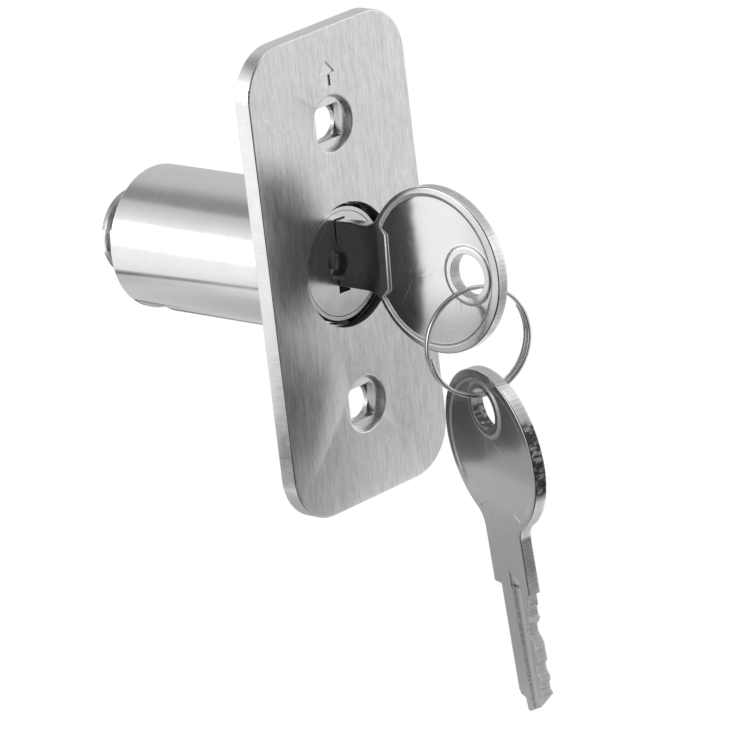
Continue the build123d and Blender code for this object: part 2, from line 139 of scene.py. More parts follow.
# Lamps: name, place in metres, width and height in metres, and power in watts
LAMPS = (
    ("lamp_back_left", (-1.3, 1.1, 0.35), (1.3, 0.8), 4.0),
    ("lamp_overhead", (0.1, -0.1, 1.6), (1.2, 1.2), 3.0),
    ("lamp_right", (1.5, -0.9, 0.3), (0.9, 0.9), 2.0),
)
FLOOR_RADIUS, FLOOR_SIDES = 4.0, 96
# The point from which the floor's tones are measured
FLOOR_CENTRE = (-11.0 * MM, 20.0 * MM, 0)


# Shader maths


class Value:
    """A shader socket that takes part in Python expressions."""

    def __init__(self, surface, socket):
        self.surface = surface
        self.socket = socket

    def maths(self, operation, *values):
        return self.surface.node(
            "ShaderNodeMath", {"operation": operation}, dict(enumerate(values))
        )

    def __add__(self, other):
        return self.maths("ADD", self, other)

    def __radd__(self, other):
        return self.maths("ADD", other, self)

    def __sub__(self, other):
        return self.maths("SUBTRACT", self, other)

    def __rsub__(self, other):
        return self.maths("SUBTRACT", other, self)

    def __mul__(self, other):
        return self.maths("MULTIPLY", self, other)

    def __rmul__(self, other):
        return self.maths("MULTIPLY", other, self)

    def __truediv__(self, other):
        return self.maths("DIVIDE", self, other)

    def __pow__(self, other):
        return self.maths("POWER", self, other)

    def __abs__(self):
        return self.maths("ABSOLUTE", self)

    def most(self, other):
        return self.maths("MAXIMUM", self, other)

    def rise(self, low, high):
        """0 below low, 1 above high and smooth between; falls instead where high is below low."""
        if high < low:
            return 1 - self.rise(high, low)
        return self.surface.node(
            "ShaderNodeMapRange",
            {"interpolation_type": "SMOOTHSTEP"},
            {0: self, 1: low, 2: high, 3: 0.0, 4: 1.0},
        )


class Surface:
    """A material's nodes, added through one method."""

    def __init__(self, name, library=None):
        self.made = (bpy.data.materials if library is None else library).new(name)
        self.made.use_nodes = True
        self.tree = self.made.node_tree
        self.tree.nodes.clear()

    def node(self, kind, settings=None, inputs=None, output=0):
        """Adds a node, sets it up, fills its sockets with values or links, and gives an output."""
        made = self.tree.nodes.new(kind)
        for key, setting in (settings or {}).items():
            setattr(made, key, setting)
        for key, value in (inputs or {}).items():
            if isinstance(value, Value):
                self.tree.links.new(value.socket, made.inputs[key])
            else:
                made.inputs[key].default_value = value
        return Value(self, made.outputs[output]) if made.outputs else None

    def place(self):
        """Where the surface is, in metres, in the lock's own frame."""
        return self.node("ShaderNodeTexCoord", output="Object")

    def facing(self):
        return self.node("ShaderNodeNewGeometry", output="Normal")

    def dot(self, vector, direction):
        return self.node(
            "ShaderNodeVectorMath",
            {"operation": "DOT_PRODUCT"},
            {0: vector, 1: tuple(direction)},
            output="Value",
        )

    def local(self, origin=(0, 0, 0), axes=((1, 0, 0), (0, 1, 0), (0, 0, 1))):
        """Coordinates along three directions from an origin."""
        moved = self.node(
            "ShaderNodeVectorMath",
            {"operation": "SUBTRACT"},
            {0: self.place(), 1: tuple(origin)},
        )
        return [self.dot(moved, axis) for axis in axes]

    def vector(self, x, y, z):
        return self.node("ShaderNodeCombineXYZ", None, {0: x, 1: y, 2: z})

    def stretched(self, place, scales, shift=0.0):
        """Coordinates times a scale each: a greater scale gives a finer pattern."""
        x, y, z = (value * scale for value, scale in zip(place, scales))
        return self.vector(x, y, z + shift if shift else z)

    def noise(self, vector, detail=2.0, roughness=0.5):
        return self.node(
            "ShaderNodeTexNoise",
            {"noise_dimensions": "3D"},
            {"Vector": vector, "Scale": 1.0, "Detail": detail, "Roughness": roughness},
        )

    def mix(self, factor, first, second):
        """Colour between first and second."""
        return self.node(
            "ShaderNodeMix",
            {"data_type": "RGBA"},
            {0: factor, 6: (*first, 1.0), 7: (*second, 1.0)},
            output=2,
        )

    def shade(self, factor, colour):
        """Colour multiplied by a number."""
        return self.node(
            "ShaderNodeVectorMath",
            {"operation": "SCALE"},
            {0: colour if isinstance(colour, Value) else tuple(colour), "Scale": factor},
        )

    def grey(self, factor):
        return self.shade(factor, (1, 1, 1))

    def bump(self, height, strength, distance):
        return self.node(
            "ShaderNodeBump",
            None,
            {"Strength": strength, "Distance": distance, "Height": height},
        )

    def metal(self, colour, roughness, normal, metallic=1.0, anisotropic=0.0, turn=0.0):
        shader = self.node(
            "ShaderNodeBsdfPrincipled",
            None,
            {
                "Base Color": colour,
                "Metallic": metallic,
                "Roughness": roughness,
                "Anisotropic": anisotropic,
                "Anisotropic Rotation": turn,
                "Normal": normal,
            },
        )
        self.node("ShaderNodeOutputMaterial", None, {"Surface": shader})
        return self.made


def reach_of(x, y, least=0.0):
    """Distance from the point or axis where x and y are 0; least keeps it off 0 for a division."""
    square = x * x + y * y
    return (square + least if least else square) ** 0.5


def turned(first, second, keep, gain):
    """Two coordinates turned towards each other."""
    return first * keep + second * gain, second * keep - first * gain


def scratches(surface, along, across, depth, seed, share):
    """Thin stray lines, 1 on the line and 0 elsewhere; a greater share leaves fewer of them."""
    place = surface.stretched((along, across, depth), (90, 90, 90), seed)
    wander = surface.noise(place, detail=1.0) * SCRATCH_WANDER
    course = surface.vector(
        along * SCRATCH_ALONG + seed, across * SCRATCH_ACROSS + wander, depth * SCRATCH_ACROSS
    )
    return surface.noise(course, detail=1.0).rise(share, share + SCRATCH_SOFTNESS)


# Finishes


def brushed_plate(tint, roughness):
    """Steel brushed along its height in short strokes, with deeper hairs, stray scratches as handling marks, and a
    painted shade left of the plug.
    """
    s = Surface("brushed_plate_steel")
    place = x, y, z = s.local()
    grain = s.noise(s.stretched(place, (3800, 3800, 420)), roughness=0.6)
    hairs = s.noise(s.stretched(place, (2300, 2300, 240), 7), roughness=0.55)
    bands = s.noise(s.stretched(place, (700, 700, 40), 3))
    blotches = s.noise(s.stretched(place, (1300, 1300, 800), 17), roughness=0.6)
    deep = s.noise(s.stretched(place, (2100, 2100, 150), 31), detail=1.0).rise(0.68, 0.76)
    specks = s.noise(s.stretched(place, (900, 900, 900), 5), detail=0.0).rise(0.83, 0.87)
    stray = scratches(s, *turned(x, z, 0.94, 0.34), y, seed=3.0, share=0.735)
    left = x.rise(-5.0 * MM, -14.0 * MM)
    # smear is painted shade on the plate, left of the plug at the height of the key's bow.
    painted_plate_shade = left * z.rise(-15.0 * MM, -6.0 * MM) * z.rise(22.0 * MM, 11.0 * MM)
    tone = grain * 0.40 + hairs * 0.42 + bands * 0.26 + blotches * 0.22 + 0.35
    tone = tone - deep * 0.12 - painted_plate_shade * 0.20 + stray * 0.16 + specks * 0.22
    rough = grain * 0.10 + hairs * 0.10 + roughness - 0.10
    height = grain * 0.5 + hairs * 0.7 + blotches * 0.3 - deep * 0.6 - stray * 0.6 + specks
    normal = s.bump(height, 0.35, COARSE_RELIEF)
    return s.metal(s.shade(tone, tint), rough, normal, anisotropic=0.55)


def sheared_steel(tint, roughness):
    """The plate's cut edges, pressed recesses and holes, with painted shade on the walls of the recesses and the
    bore, and on the lower part of the left side edge.
    """
    s = Surface("sheared_plate_steel")
    place = x, y, z = s.local()
    across = s.noise(s.stretched(place, (2600, 320, 2600)), detail=3.0, roughness=0.6)
    cloud = s.noise(s.stretched(place, (380, 380, 380)), detail=3.0)
    wall = 1 - abs(s.dot(s.facing(), (0, 1, 0))).rise(0.3, 0.7)
    off_bolt, off_centre = reach_of(x, abs(z) - BOLT_REACH), reach_of(x, z)
    # recess and bore mark the walls of the bolt recesses and of the bore, where shade is painted below; they are
    # rougher too.
    recess = wall * off_bolt.rise(RECESS_RADIUS + 0.6 * MM, RECESS_RADIUS + 0.3 * MM)
    bore = wall * off_centre.rise(BORE_RADIUS + 0.3 * MM, BORE_RADIUS + 0.1 * MM)
    arris = (y * -1).rise(2.84 * MM, 2.93 * MM)
    # rubbed is painted shade on the lower part of the plate's left side edge.
    painted_side_shade = x.rise(-17.6 * MM, -17.72 * MM) * z.rise(-16.0 * MM, -27.0 * MM)
    sheared_tone = across * 0.16 + cloud * 0.16 + 0.80 - painted_side_shade * 0.40
    colour = s.shade(sheared_tone * (1 - recess * 0.36 - bore * 0.86), tint)
    rough = across * 0.12 + cloud * 0.12 + recess * 0.12 + bore * 0.3 + arris * 0.22 + roughness
    normal = s.bump(across * 0.6 + cloud * 0.4, 0.25, COARSE_RELIEF)
    return s.metal(colour, rough, normal)


def turned_plating(tint, roughness):
    """Bright plating over a turned body: fine rings round its axis and light handling marks."""
    s = Surface("turned_barrel")
    place = x, y, z = s.local()
    rings = s.noise(s.stretched(place, (14, 2600, 14)), detail=3.0, roughness=0.55)
    cloud = s.noise(s.stretched(place, (240, 180, 240)), detail=3.0)
    stray = scratches(s, y * 0.8 + x * 0.3, z - y * 0.2, x, seed=11.0, share=0.745)
    pits = s.noise(s.stretched(place, (5200, 5200, 5200)), detail=1.0).rise(0.74, 0.8)
    tone = rings * 0.08 + cloud * 0.10 + 0.90 - pits * 0.10 + stray * 0.05
    rough = rings * 0.10 + cloud * 0.12 + roughness - 0.08 + stray * 0.10
    normal = s.bump(rings - stray * 0.5 - pits * 0.5, 0.18, FINE_RELIEF)
    return s.metal(s.shade(tone, tint), rough, normal)


def faced_plating(name, tint, roughness, skirt=0.0):
    """Plated zinc: rings round the axis on its ends and sides, painted shade on its skirt in the bore, and painted
    shade on its ends towards the bottom.
    """
    s = Surface(name)
    place = x, y, z = s.local()
    end = abs(s.dot(s.facing(), (0, 1, 0))).rise(0.6, 0.9)
    turning = reach_of(x, z) * 3400 * end + y * 2600 * (1 - end)
    rings = s.noise(s.vector(turning, x * 20, z * 20), detail=3.0)
    cloud = s.noise(s.stretched(place, (520, 420, 520)), detail=4.0, roughness=0.6)
    stray = scratches(s, *turned(x, z, 0.7, 0.7), y, seed=23.0, share=0.73)
    pits = s.noise(s.stretched(place, (3600, 3600, 3600))).rise(0.64, 0.74)
    # oil is painted shade on the skirt in the bore, as strong as skirt sets; the skirt is rougher there too.
    shaded_skirt = (1 - end) * y.rise(2.5 * MM, 1.5 * MM) * skirt
    # lower is painted shade: the ends get darker towards the bottom.
    lower = end * z.rise(-2.0 * MM, -7.5 * MM)
    tone = rings * 0.10 + cloud * 0.28 + 0.79 - pits * 0.14 + stray * 0.08 - lower * 0.24
    rough = rings * 0.10 + cloud * 0.20 + roughness - 0.10 + stray * 0.10 + shaded_skirt * 0.2
    normal = s.bump(rings * 0.5 + cloud * 1.6 - stray * 0.5 - pits * 0.7, 0.25, FINE_RELIEF)
    return s.metal(s.shade(tone * (1 - shaded_skirt), tint), rough, normal)


def satin_key(name, tint, roughness, key, polish_turn=0.0, rust=0.0, painted_front_reflection=0.0, dull_back=0.0):
    """Nickel plate over tumbled brass: mottling, lengthwise polish, a worn step and sheared edges.

    Dirt makes the hole's wall and the blade's cuts duller metal. rust is how far the bow's edge is
    eaten. painted_front_reflection is how strong a painted reflection is on the seen face, darker round the bow
    than towards the neck, and it also takes the painted shade off; dull_back is how far the back
    face is tarnished. polish_turn brushes the faces in one direction, as a share of a full turn.
    """
    s = Surface(name)
    place = x, y, z = s.local(key.origin, (key.along, key.across, key.out))
    flat = abs(s.dot(s.facing(), key.out))
    face = flat.rise(0.45, 0.8)
    in_coin = reach_of(y, x - COIN_SHIFT).rise(COIN_RADIUS + 0.25 * MM, COIN_RADIUS + 0.1 * MM)
    step = flat.rise(0.997, 0.94) * face * in_coin
    polish = s.noise(s.stretched(place, (260, 4200, 600)), detail=3.0, roughness=0.6)
    mottle = s.noise(s.stretched(place, (900, 900, 900)), detail=3.0, roughness=0.6)
    stray = scratches(s, *turned(x, y, 0.5, 0.87), z, seed=5.0, share=0.72)
    nicks = scratches(s, *turned(x, y, 0.92, -0.38), z, seed=17.0, share=0.74)
    shear = s.noise(s.stretched(place, (2600, 2600, 420)), detail=3.0, roughness=0.65)
    chips = s.noise(s.stretched(place, (1500, 1500, 900)), detail=3.0, roughness=0.6)
    burnish = abs(z).rise(0.3 * MM, 0.85 * MM)
    front = z.rise(-0.4 * MM, 0.4 * MM)
    # On the seen face tarnish is a painted reflection, darker round the bow than towards the neck; dull adds the
    # back face's tarnish to it.
    darkening = 0.40 - x.rise(1.0 * MM, 5.0 * MM) * 0.20
    painted_reflection_and_tarnish = front * darkening * painted_front_reflection + (1 - front) * 0.28 * dull_back
    # handled is painted shade, darker towards the cut side and away from the tip; painted_front_reflection takes
    # it off.
    painted_bow_shade = y.rise(1.0 * MM, 10.0 * MM) * 0.46 + x.rise(-4.0 * MM, -13.0 * MM) * 0.24
    tone = polish * 0.08 + mottle * 0.12 + 0.90 - stray * 0.06 + nicks * 0.05
    tone = (tone - painted_bow_shade * (1 - painted_front_reflection)) * (1 - painted_reflection_and_tarnish)
    rusty = x.rise(-7.6 * MM, -6.2 * MM) * x.rise(6.4 * MM, 4.2 * MM) * rust
    eaten = rusty * (1.25 - chips.rise(0.46, 0.62) * 0.8)
    edge_tone = (shear * 0.70 + 0.44 + burnish * 0.12) * (1 - eaten)
    edge = 1 - face
    rough = polish * 0.06 + mottle * 0.08 + roughness - 0.05 + stray * 0.08 + step * 0.28
    rough = rough * face + (shear * 0.22 + roughness + rusty * 0.2) * edge
    height = polish * 0.25 + mottle * 0.35 - stray * 0.4 - nicks * 0.4
    height = height * face + (shear * 2.2 + chips * rusty * 4) * edge
    off_hole = reach_of(y, x + KEY_HOLE_REACH)
    in_hole = off_hole.rise(KEY_HOLE_RADIUS + 0.1 * MM, KEY_HOLE_RADIUS) * edge
    in_groove = x.rise(18.0 * MM, 22.0 * MM) * abs(z).rise(0.93 * MM, 0.85 * MM)
    return s.metal(
        s.shade(tone * face + edge_tone * edge, tint),
        rough,
        s.bump(height, 0.22, FINE_RELIEF),
        metallic=1 - (in_hole * 0.75 + in_groove * 0.65),
        anisotropic=0.5 if polish_turn else 0.0,
        turn=polish_turn,
    )


def drawn_wire(name, tint, roughness, axis):
    """Drawn wire: long die lines, a little grime and light wear."""
    s = Surface(name)
    place = s.local()
    along = s.dot(s.place(), axis)
    lines = s.stretched((*place[:2], along), (260, 260, 5200))
    lines = s.noise(lines, detail=3.0, roughness=0.6)
    cloud = s.noise(s.stretched(place, (700, 700, 700)), detail=3.0)
    grime = cloud.rise(0.56, 0.70)
    colour = s.shade(lines * 0.22 + cloud * 0.14 + 0.80 - grime * 0.22, tint)
    rough = lines * 0.12 + roughness - 0.04 + grime * 0.18
    return s.metal(colour, rough, s.bump(lines - grime * 0.3, 0.25, FINE_RELIEF))


def stamped_metal(name, tint, dark, roughness):
    """Stamped or milled stock: rolling lines, spots of tarnish and rubbed high places."""
    s = Surface(name)
    place = x, y, z = s.local(axes=(LOCK_RIGHT, (0, 1, 0), LOCK_UP))
    rolled = s.noise(s.stretched(place, (4200, 2600, 220)), detail=3.0, roughness=0.6)
    cloud = s.noise(s.stretched(place, (520, 520, 520)), detail=4.0, roughness=0.6)
    # tarnish marks the tarnished spots of the stock.
    darkening = cloud.rise(0.50, 0.68)
    stray = scratches(s, *turned(x, z, 0.6, 0.8), y, seed=41.0, share=0.72)
    colour = s.shade(rolled * 0.2 + 0.85 + stray * 0.1, s.mix(darkening, tint, dark))
    rough = rolled * 0.14 + darkening * 0.14 + roughness - 0.06
    normal = s.bump(rolled - stray * 0.6 - darkening * 0.3, 0.3, COARSE_RELIEF)
    return s.metal(colour, rough, normal)


def towards_camera(across, ahead):
    """How far something lies towards the camera's side of the studio."""
    return across * -0.66 + ahead * -0.75


def walls(across, ahead):
    """How bright the studio's walls are in a level direction.

    They are white behind on the left, grey behind on the right, and dark round the camera.
    """
    grey = across.rise(-0.35, 0.10)
    wall = grey * -0.42 + 1.0 + grey * ahead.rise(0.1, -0.5) * 0.20
    return wall * (1 - towards_camera(across, ahead).rise(0.58, 0.92) * 0.95)


def mirrored_floor(x, y):
    """How bright the floor is to the metal; x is metres to the right, and y metres behind.

    Round the lock it is grey, and darkest towards the camera. Behind the lock a dark line ends
    that part. Beyond it come the walls, with greyer patches: a painted shadow of the lock on the
    right and a painted shade on the left.
    """
    reach = reach_of(x, y, least=1e-6)
    behind = y.rise(-0.03, 0.0)
    near = reach.rise(0.025, 0.05) * 0.10 + reach.rise(0.055, 0.085) * 0.12 + 0.43
    towards = towards_camera(x, y)
    shaded = towards.rise(0.01, 0.05) * (towards / reach).rise(0.70, 0.80)
    near = near * (1 - shaded * 0.9) * (1 - behind * reach.rise(0.075, 0.100) * 0.13)
    lit_right = (x * 0.8 - y * 0.5).rise(0.035, 0.08)
    lit_left = (y * -0.1 - x * 0.9).rise(0.025, 0.065)
    near = near + lit_right * 0.44 + lit_left * 0.34
    # painted_shadow_right is a painted shadow of the lock on the floor, and painted_shade_left a painted shade;
    # the metal sees both only in its reflections.
    painted_shadow_right = reach.rise(0.155, 0.197) * reach.rise(0.275, 0.203) * (x - y).rise(0.04, 0.14)
    painted_shade_left = reach.rise(0.190, 0.150) * (x + y).rise(-0.005, -0.025)
    far = (reach.rise(0.08, 0.30) * 0.10 + 0.90) * (1 - painted_shadow_right * 0.46 - painted_shade_left * 0.70)
    border = reach - behind * 0.028
    beyond = border.rise(0.089, 0.094)
    line = border.rise(0.079, 0.087) * border.rise(0.105, 0.096) * behind
    return walls(x / reach, y / reach) * far * beyond + near * (1 - beyond) - line * 0.60


def white_sweep(level):
    """Pale floor: white to the camera with a faint shadow, and toned as the studio to metal."""
    s = Surface("white_sweep")
    place = s.local(FLOOR_CENTRE)
    paper = s.noise(s.stretched(place, (40, 40, 40)), detail=3.0)
    tone = mirrored_floor(*place[:2])
    seen = s.node("ShaderNodeLightPath", output="Is Camera Ray")
    mirrored = s.node("ShaderNodeLightPath", output="Is Glossy Ray")
    through = s.node("ShaderNodeLightPath", output="Is Transmission Ray")
    glow = s.node("ShaderNodeEmission", None, {"Color": (1, 1, 1, 1), "Strength": 1.08})
    mirror_glow = s.node("ShaderNodeEmission", None, {"Color": s.grey(tone), "Strength": 1.0})
    matt = s.node(
        "ShaderNodeBsdfPrincipled",
        None,
        {"Base Color": s.grey(paper * 0.02 + level), "Roughness": 0.9, "Specular IOR Level": 0.0},
    )
    lit = s.node("ShaderNodeMixShader", None, {0: seen * 0.88, 1: matt, 2: glow})
    both = s.node(
        "ShaderNodeMixShader", None, {0: mirrored.most(through), 1: lit, 2: mirror_glow}
    )
    s.node("ShaderNodeOutputMaterial", None, {"Surface": both})
    return s.made


# Meshes


def body_of_node(node):
    """The body that a CAD node moves with."""
    for body, members in frame["record"]["behaviour"]["bodies"].items():
        if node in members:
            return body
    raise ValueError(node)


def add_piece(name, mesh, material, body, slot, *nodes):
    """Puts a finished mesh in the scene in place of one or more CAD nodes."""
    piece = bpy.data.objects.new(name, mesh)
    bpy.context.scene.collection.objects.link(piece)
    mesh.materials.clear()
    mesh.materials.append(material)
    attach(piece, body)
    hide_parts(*nodes)


def smooth(mesh, angle):
    for polygon in mesh.polygons:
        polygon.use_smooth = True
    mesh.set_sharp_from_angle(angle=angle)


def joined(node, apart=None):
    """A CAD node's mesh with its flats joined up, ready to work on.

    apart takes an edge and tells whether it has to stay.
    """
    work = bmesh.new()
    work.from_mesh(frame["nodes"][node].data)
    bmesh.ops.remove_doubles(work, verts=work.verts, dist=WELD)
    edges = [edge for edge in work.edges if apart is None or not apart(edge)]
    bmesh.ops.dissolve_limit(
        work,
        angle_limit=FLAT_ANGLE,
        use_dissolve_boundaries=False,
        verts=work.verts,
        edges=edges,
    )
    return work


def eased(name, work, edge, segments=2, angle=CREASE_ANGLE, share=None, crisp=None, clamp=True):
    """A mesh with its edges eased.

    share takes an edge and gives how much of the easing that edge gets, and crisp tells whether a
    shallow edge stays a line.
    """
    weights = work.edges.layers.float.new("bevel_weight_edge")
    work.edges.index_update()
    lines = []
    for line in work.edges:
        if len(line.link_faces) == 2 and line.calc_face_angle() > angle:
            line[weights] = 1.0 if share is None else share(line)
        elif crisp is not None and crisp(line):
            lines.append(line.index)
    mesh = bpy.data.meshes.new(name + "_eased")
    work.to_mesh(mesh)
    work.free()
    smooth(mesh, angle)
    for index in lines:
        mesh.edges[index].use_edge_sharp = True
    holder = bpy.data.objects.new(name + "_holder", mesh)
    bpy.context.scene.collection.objects.link(holder)
    bevel = holder.modifiers.new("edges", "BEVEL")
    bevel.width = edge
    bevel.segments = segments
    bevel.limit_method = "WEIGHT"
    bevel.use_clamp_overlap = clamp
    bevel.harden_normals = True
    depsgraph = bpy.context.evaluated_depsgraph_get()
    made = bpy.data.meshes.new_from_object(holder.evaluated_get(depsgraph))
    bpy.data.objects.remove(holder)
    made.name = name + "_mesh"
    return made


def ease_node(name, node, material, slot, edge):
    """Puts an eased copy of a CAD node in its place, and gives the copy's mesh."""
    mesh = eased(node, joined(node), edge)
    add_piece(name, mesh, material, body_of_node(node), slot, node)
    return mesh


def finish_node(node, material):
    """Gives a CAD node that keeps its mesh its finish."""
    holder = frame["nodes"][node]
    holder.data.materials.clear()
    holder.data.materials.append(material)


class Key:
    """A key's directions along its length, towards its cut side and out of its seen face.

    origin is its bow's centre, and worn tells whether its hollow runs out towards the neck.
    """

    def __init__(self, hole, along, out, worn):
        self.hole, self.along, self.out, self.worn = hole, along, out, worn
        self.across = out.cross(along)
        self.origin = hole + along * KEY_HOLE_REACH

    def length(self, spot):
        """How far a point is from the bow's centre, above 0 towards the tip."""
        return (spot - self.origin).dot(self.along)

    def depth(self, spot):
        """How far a point is from the middle of the blank, above 0 towards the seen face."""
        return (spot - self.origin).dot(self.out)

    def level(self, line, height):
        """Whether an edge lies at a height from the middle, on either face."""
        return max(abs(abs(self.depth(vert.co)) - height) for vert in line.verts) < TOUCH

    def on_boss(self, line):
        """Edges on the flat of the boss."""
        spots = [vert.co - self.hole for vert in line.verts]
        return self.level(line, KEY_HALF_THICKNESS) and all(
            (spot - self.out * spot.dot(self.out)).length < BOSS_RADIUS + TOUCH for spot in spots
        )

    def share(self, line):
        """Broad easing on the bow's outline, less at its hole and step, least on the blade."""
        middle = (line.verts[0].co + line.verts[1].co) / 2
        length = self.length(middle)
        depths = [self.depth(vert.co) for face in line.link_faces for vert in face.verts]
        if max(depths) - min(depths) < TOUCH:
            return 0.0
        if length > SHOULDER_REACH:
            return BLADE_SHARE
        steep = min(abs(face.normal.dot(self.out)) for face in line.link_faces) < KEY_WALL_LEVEL
        if self.worn and length > WORN_FROM - 1.0 * MM and not steep:
            return 0.0
        if self.level(line, COIN_FLOOR):
            return STEP_SHARE
        if not self.level(line, KEY_HALF_THICKNESS):
            return 0.0
        off_hole = (middle - self.hole).length >= KEY_HOLE_RADIUS + 0.5 * MM
        return OUTLINE_SHARE if steep and off_hole else STEP_SHARE

    def crisp(self, line):
        """Shallow edges of the flats at the top of the step."""
        shallow = len(line.link_faces) == 2 and line.calc_face_angle() > KEY_CRISP_ANGLE
        return shallow and self.level(line, KEY_HALF_THICKNESS)

    def leaned(self, spot, lean):
        """Where a corner of the coined hollow's floor goes so that the step beside it leans."""
        x, y = self.length(spot), (spot - self.origin).dot(self.across)
        boss = Vector((x + KEY_HOLE_REACH, y))
        coin = Vector((x - COIN_SHIFT, y))
        if boss.length < BOSS_RADIUS + 0.1 * MM:
            shift = boss.normalized() * min(lean, (COIN_RADIUS - coin.length) * LEAN_SHARE)
        elif coin.length > COIN_RADIUS - 0.05 * MM and x < COIN_SIDES_END:
            shift = -coin.normalized() * min(lean, (boss.length - BOSS_RADIUS) * LEAN_SHARE)
        else:
            slant = NECK_SLANT if abs(y) < NECK_HALF_WIDTH else SIDE_SLANT
            shift = Vector((-lean, -lean * slant * (1 if y > 0 else -1)))
        return spot + self.along * shift.x + self.across * shift.y

    def coined(self, node, lean):
        """The key's mesh with leaned steps and, on a worn key, a hollow that runs out."""
        work = joined(node, self.on_boss)
        if self.worn:
            everything = [*work.verts, *work.edges, *work.faces]
            worn_line = self.origin + self.along * WORN_FROM
            bmesh.ops.bisect_plane(
                work, geom=everything, dist=WELD, plane_co=worn_line, plane_no=self.along
            )
        for vert in work.verts:
            depth = self.depth(vert.co)
            if abs(abs(depth) - COIN_FLOOR) < TOUCH and self.length(vert.co) < COIN_END:
                vert.co = self.leaned(vert.co, lean)
                if self.worn and depth > 0:
                    run = (self.length(vert.co) - WORN_FROM) / (WORN_TO - WORN_FROM)
                    vert.co += self.out * (min(max(run, 0), 1) * WORN_DEPTH)
        return work

    def in_hollow(self, polygon):
        """Large faces on the coined hollow's floor."""
        floor = abs(abs(self.depth(polygon.center)) - COIN_FLOOR) < 2 * TOUCH
        return floor and self.length(polygon.center) < COIN_RADIUS and polygon.area > COIN_AREA


def keys():
    """The key in the lock and the spare key on its ring."""
    spare = JOINTS["spare_key_swing"]
    spare_hole, spare_out = Vector(spare["pos_m"]), Vector(spare["axis"])
    level = Vector((spare_out.x, spare_out.y, 0)).normalized()
    tilt = -spare_out.z
    spare_along = Vector((0, 0, -(1 - tilt * tilt) ** 0.5)) - level * tilt
    return {
        "lock_key": Key(LOCK_KEY_HOLE, Vector((0, 1, 0)), -LOCK_RIGHT, worn=False),
        "spare_key": Key(spare_hole, spare_along, spare_out, worn=True),
    }


def squared_off(part, power):
    """A cosine or sine raised to a power with its sign kept."""
    return abs(part) ** power * (1 if part > 0 else -1)


def wire_outline(half_width, half_height):
    """The ring wire's section: places along the ring's axis and across it."""
    angles = [side * tau / RING_SIDES for side in range(RING_SIDES)]
    return [
        (
            half_width * squared_off(cos(angle), WIDTH_POWER),
            half_height * squared_off(sin(angle), HEIGHT_POWER),
        )
        for angle in angles
    ]


# Settings


class ReleaseLockMetals(bpy.types.PropertyGroup):
    """Colours and roughness of the lock's metals."""

    plate_tint: FloatVectorProperty(
        name="Plate", description="Colour of the brushed plate", subtype="COLOR",
        default=(0.84, 0.84, 0.84), min=0, max=1,
    )
    plate_roughness: FloatProperty(
        name="Plate roughness", description="How far the brushing spreads a reflection",
        default=0.32, min=0.05, max=1, subtype="FACTOR",
    )
    edge_tint: FloatVectorProperty(
        name="Plate edges", description="Colour of the plate's cut edges and recesses",
        subtype="COLOR", default=(0.92, 0.92, 0.92), min=0, max=1,
    )
    edge_roughness: FloatProperty(
        name="Edge roughness", description="Roughness of the plate's cut edges and recesses",
        default=0.12, min=0.02, max=1, subtype="FACTOR",
    )
    barrel_tint: FloatVectorProperty(
        name="Barrel", description="Colour of the barrel's bright plating", subtype="COLOR",
        default=(0.86, 0.86, 0.87), min=0, max=1,
    )
    barrel_roughness: FloatProperty(
        name="Barrel roughness", description="Roughness of the turned barrel", default=0.10,
        min=0.02, max=1, subtype="FACTOR",
    )
    lock_tint: FloatVectorProperty(
        name="Cylinder and plug", description="Colour of the plated cylinder and plug",
        subtype="COLOR", default=(0.80, 0.80, 0.79), min=0, max=1,
    )
    lock_roughness: FloatProperty(
        name="Cylinder roughness", description="Roughness of the cylinder and plug", default=0.18,
        min=0.02, max=1, subtype="FACTOR",
    )
    key_tint: FloatVectorProperty(
        name="Keys", description="Colour of the keys' nickel plate", subtype="COLOR",
        default=(0.87, 0.855, 0.84), min=0, max=1,
    )
    key_roughness: FloatProperty(
        name="Key roughness", description="Roughness of the keys' satin faces", default=0.17,
        min=0.05, max=1, subtype="FACTOR",
    )
    ring_tint: FloatVectorProperty(
        name="Ring", description="Colour of the split ring's wire", subtype="COLOR",
        default=(0.86, 0.85, 0.83), min=0, max=1,
    )
    brass_tint: FloatVectorProperty(
        name="Wafers", description="Colour of the brass wafers", subtype="COLOR",
        default=(0.80, 0.62, 0.30), min=0, max=1,
    )
    steel_tint: FloatVectorProperty(
        name="Steel parts", description="Colour of the bolt, pins and clip", subtype="COLOR",
        default=(0.60, 0.60, 0.61), min=0, max=1,
    )


